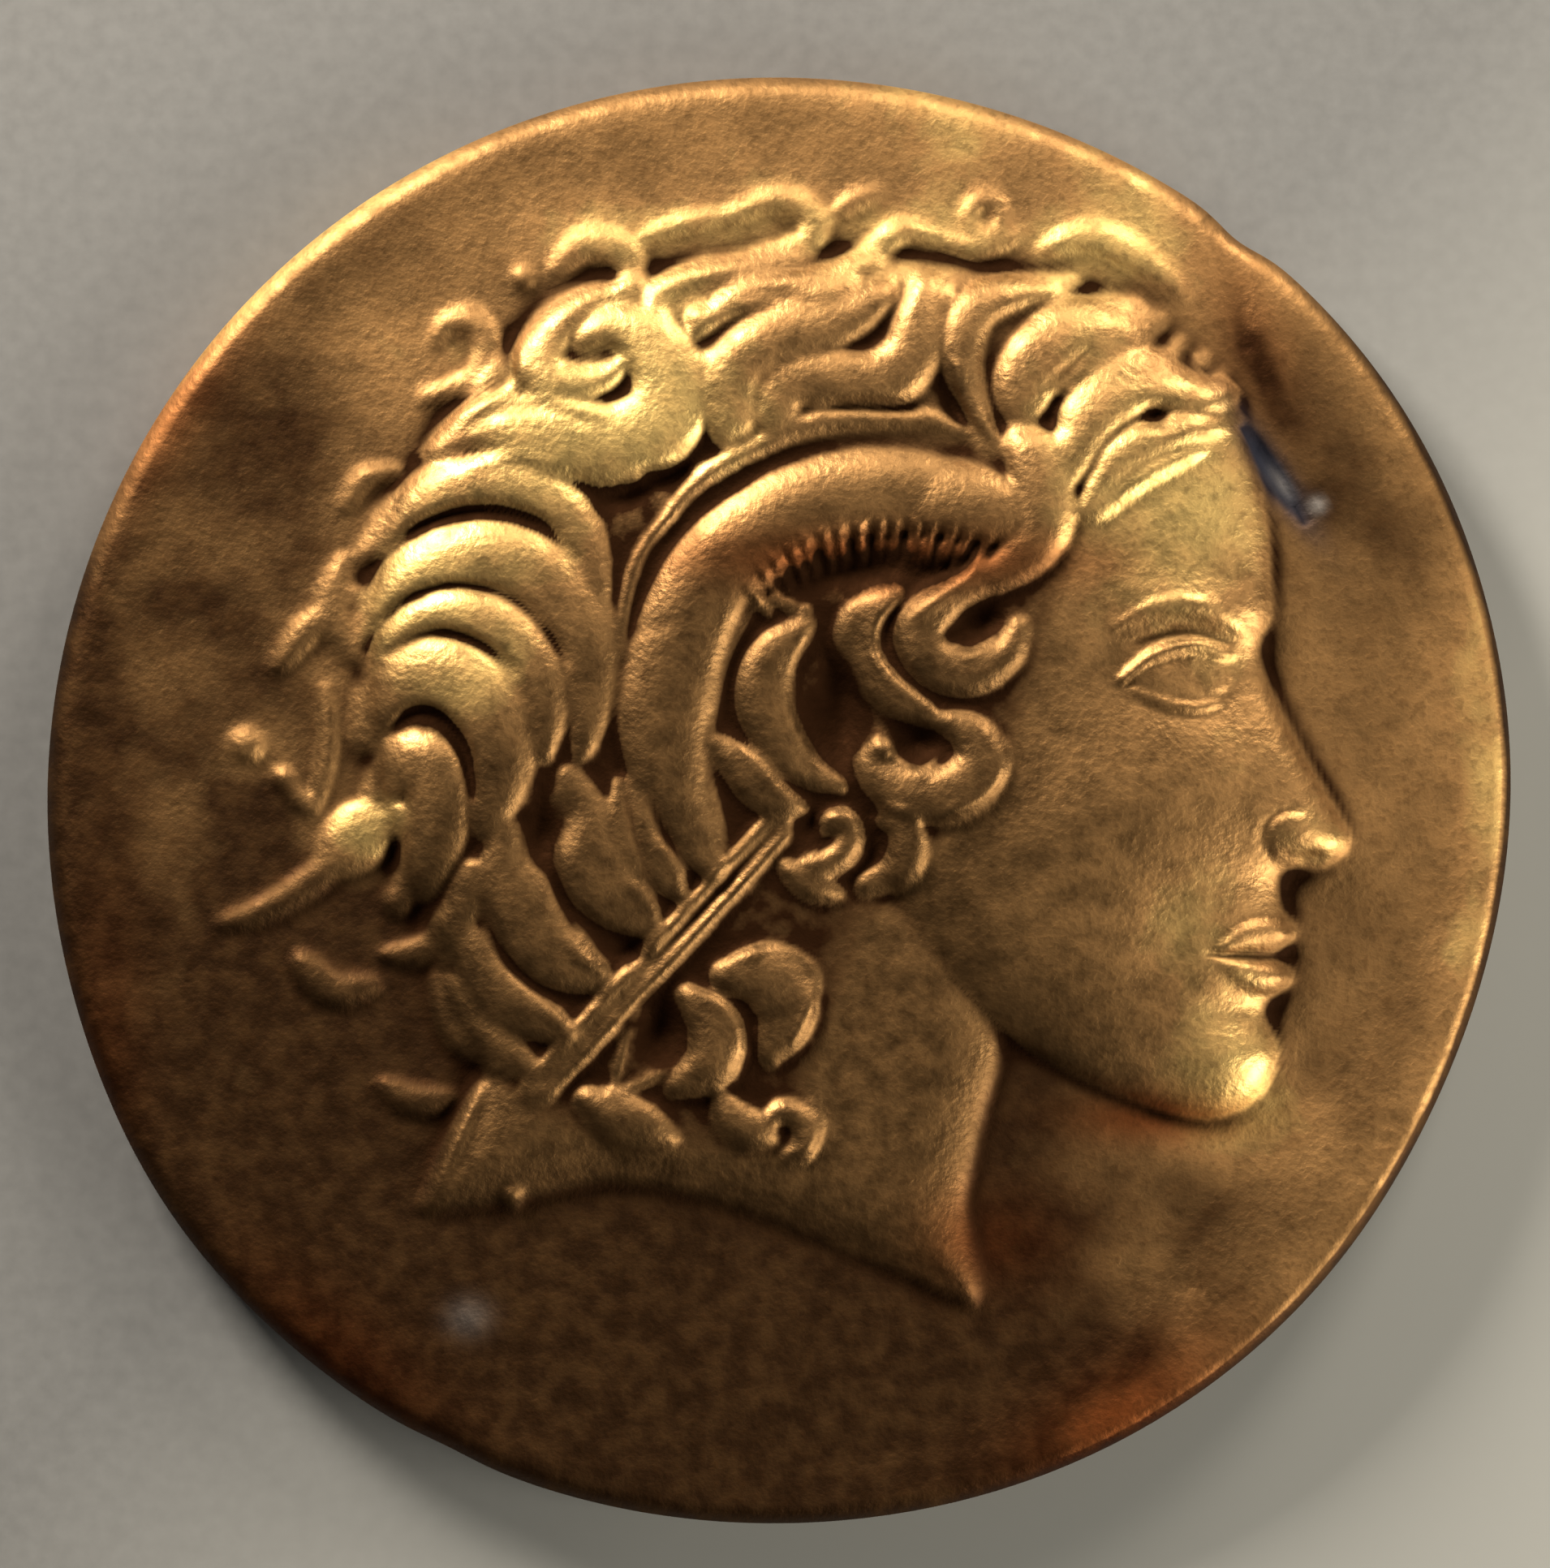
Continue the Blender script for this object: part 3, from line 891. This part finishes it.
film = add(gold, "ShaderNodeMapRange", {"Value": kept_tone, "From Max": 0.5}).outputs[0]
base = add(gold, "ShaderNodeMix", {0: film, 6: colour("#e4c279"), 7: colour("#946f46")},
           data_type="RGBA").outputs[2]
film = add(gold, "ShaderNodeMapRange", {"Value": kept_tone, "From Min": 0.5}).outputs[0]
base = add(gold, "ShaderNodeMix", {0: film, 6: base, 7: colour("#342214")}, data_type="RGBA").outputs[2]
mottled = add(gold, "ShaderNodeMapRange", {"Value": mottle, "From Min": 0.42, "From Max": 0.7,
                                           "To Max": 0.1}).outputs[0]
base = add(gold, "ShaderNodeMix", {0: mottled, 6: base, 7: colour("#7a5a34")}, data_type="RGBA").outputs[2]
base = add(gold, "ShaderNodeMix", {0: reads["coppery"], 6: base, 7: colour("#ffb898")},
           data_type="RGBA", blend_type="MULTIPLY").outputs[2]
pitted = add(gold, "ShaderNodeMapRange", {"Value": grain, "From Min": 0.5, "From Max": 0.7,
                                          "To Max": 0.32}).outputs[0]
base = add(gold, "ShaderNodeMix", {0: pitted, 6: base, 7: colour("#3a2412")}, data_type="RGBA").outputs[2]

# The film of soil: thick in the clefts between the locks, thinner where the metal only dips
near_dirt = add(gold, "ShaderNodeMapRange", {"Value": reads["hollow"], "From Min": 0.15, "From Max": 1.0,
                                             "To Max": 0.8}).outputs[0]
wide_dirt = add(gold, "ShaderNodeMapRange", {"Value": reads["wide_hollow"], "From Min": 0.2, "From Max": 1.3,
                                             "To Max": 0.8}).outputs[0]
dirt = add(gold, "ShaderNodeMath", {0: near_dirt, 1: wide_dirt}, operation="ADD").outputs[0]
thickness = add(gold, "ShaderNodeMapRange", {"Value": mottle, "From Min": 0.35, "From Max": 0.6,
                                             "To Min": 0.65}).outputs[0]
dirt = add(gold, "ShaderNodeMath", {0: reads["cleft"], 1: thickness, 2: dirt}, operation="MULTIPLY_ADD",
           use_clamp=True).outputs[0]
base = add(gold, "ShaderNodeMix", {0: dirt, 6: base, 7: colour("#26150a")}, data_type="RGBA").outputs[2]

# The pit by the forehead is bare and blue-grey, with a pale crust beside it. A pale spot lies low on
# the left
for spots, tint in (("silvery", "#2e2f3a"), ("pale", "#b4aca8")):
    base = add(gold, "ShaderNodeMix", {0: reads[spots], 6: base, 7: colour(tint)},
               data_type="RGBA").outputs[2]

# Matt where toned or dirty, smoother where handled
matt = add(gold, "ShaderNodeMapRange", {"Value": mottle, "From Min": 0.3, "From Max": 0.7, "To Min": 0.5,
                                        "To Max": 0.68}).outputs[0]
matt = add(gold, "ShaderNodeMath", {0: dirt, 1: 0.25, 2: matt}, operation="MULTIPLY_ADD").outputs[0]
polish = add(gold, "ShaderNodeMath", {0: clean, 1: -0.1, 2: matt}, operation="MULTIPLY_ADD").outputs[0]

fine = add(gold, "ShaderNodeBump", {"Height": grain, "Strength": 0.8, "Distance": 0.00002}).outputs[0]
coarse = add(gold, "ShaderNodeBump", {"Height": mottle, "Strength": 0.25, "Distance": 0.00004,
                                      "Normal": fine}).outputs[0]
gold_shader.inputs["Metallic"].default_value = 1
for socket, source in (("Base Color", base), ("Roughness", polish), ("Normal", coarse)):
    gold.node_tree.links.new(source, gold_shader.inputs[socket])
coin_mesh.materials.append(gold)


# The plain cloth that the coin lies on: pale grey linen, laid flat without folds, smooth and matt.
# It gives a hair under the coin's weight, and is a little more faded towards the lower right.
CLOTH_REACH = 0.3
CLOTH_DROP = 0.00002
cloth_mesh = bpy.data.meshes.new("cloth")
corners = [(-CLOTH_REACH, -CLOTH_REACH, 0), (CLOTH_REACH, -CLOTH_REACH, 0),
           (CLOTH_REACH, CLOTH_REACH, 0), (-CLOTH_REACH, CLOTH_REACH, 0)]
cloth_mesh.from_pydata(corners, [], [(0, 1, 2, 3)])
cloth = bpy.data.objects.new("cloth", cloth_mesh)
cloth.location.z = -CLOTH_DROP
bpy.context.scene.collection.objects.link(cloth)
linen = bpy.data.materials.new("pale_grey_linen")
linen.use_nodes = True
linen_shader = linen.node_tree.nodes["Principled BSDF"]
weave = add(linen, "ShaderNodeTexNoise", {"Vector": add(linen, "ShaderNodeTexCoord").outputs["Object"],
                                          "Scale": per_metre(0.25), "Detail": 3}).outputs["Fac"]
threads = add(linen, "ShaderNodeMapRange", {"Value": weave, "From Min": 0.3, "From Max": 0.7}).outputs[0]
grey = add(linen, "ShaderNodeMix", {0: threads, 6: colour("#595859"), 7: colour("#605f60")},
           data_type="RGBA").outputs[2]
turned = add(linen, "ShaderNodeMapping", {"Vector": add(linen, "ShaderNodeTexCoord").outputs["Object"],
                                          "Rotation": (0, 0, radians(45))}).outputs[0]
turned = add(linen, "ShaderNodeSeparateXYZ", {"Vector": turned}).outputs["X"]
faded = add(linen, "ShaderNodeMapRange", {"Value": turned, "From Min": -0.001, "From Max": 0.0065,
                                          "To Max": 0.9}).outputs[0]
grey = add(linen, "ShaderNodeMix", {0: faded, 6: grey, 7: colour("#82817f")}, data_type="RGBA").outputs[2]
linen.node_tree.links.new(grey, linen_shader.inputs["Base Color"])
linen_shader.inputs["Roughness"].default_value = 0.9
cloth_mesh.materials.append(linen)


# Daylight from two windows beyond the coin's crown, the left one the brighter, and a broad warm lamp
# low on the right. Both windows are of one size and stand at one height.
WINDOW_HEIGHT = 0.036
WINDOW_REACH = 0.080
WINDOW_SIZE = 0.026


def softbox(name, direction, height, reach, size, tint, power):
    """A square lamp that faces the coin from a direction in degrees, in metres."""
    data = bpy.data.lights.new(name, "AREA")
    data.shape = "SQUARE"
    data.size = size
    data.energy = power
    data.color = tint
    lamp = bpy.data.objects.new(name, data)
    lamp.location = (reach * cos(radians(direction)), reach * sin(radians(direction)), height)
    lamp.rotation_euler = (pi / 2 - np.arctan2(height, reach), 0, radians(direction) + pi / 2)
    bpy.context.scene.collection.objects.link(lamp)


softbox("left window", 126, WINDOW_HEIGHT, WINDOW_REACH, WINDOW_SIZE, (1.0, 0.93, 0.78), 0.24)
softbox("right window", 60, WINDOW_HEIGHT, WINDOW_REACH, WINDOW_SIZE, (1.0, 0.92, 0.76), 0.085)
softbox("lamp", -30, 0.028, 0.085, 0.060, (1.0, 0.96, 0.80), 0.16)
world = bpy.data.worlds.new("room")
world.use_nodes = True
world.node_tree.nodes["Background"].inputs["Color"].default_value = (0.62, 0.60, 0.56, 1)
world.node_tree.nodes["Background"].inputs["Strength"].default_value = 0.135
bpy.context.scene.world = world
bpy.context.scene.view_settings.view_transform = "Standard"

# The camera looks straight down from 120 mm. Its frame is 22.3 mm wide, with the coin a little below
# the middle.
FRAME_WIDE, FRAME_HIGH = 1910, 1932
PIXELS_PER_METRE = 900 / FLAN_RADIUS
CENTRE_ACROSS, CENTRE_DOWN = 955, 988
CAMERA_HEIGHT = 0.12
lens = bpy.data.cameras.new("camera")
lens.sensor_fit = "VERTICAL"
lens.sensor_height = 24
lens.lens = lens.sensor_height * (CAMERA_HEIGHT - FIELD_HEIGHT) / (FRAME_HIGH / PIXELS_PER_METRE)
lens.clip_start = 0.001
camera = bpy.data.objects.new("camera", lens)
camera.location = ((FRAME_WIDE / 2 - CENTRE_ACROSS) / PIXELS_PER_METRE - shift[0],
                   (CENTRE_DOWN - FRAME_HIGH / 2) / PIXELS_PER_METRE - shift[1], CAMERA_HEIGHT)
bpy.context.scene.collection.objects.link(camera)
bpy.context.scene.camera = camera
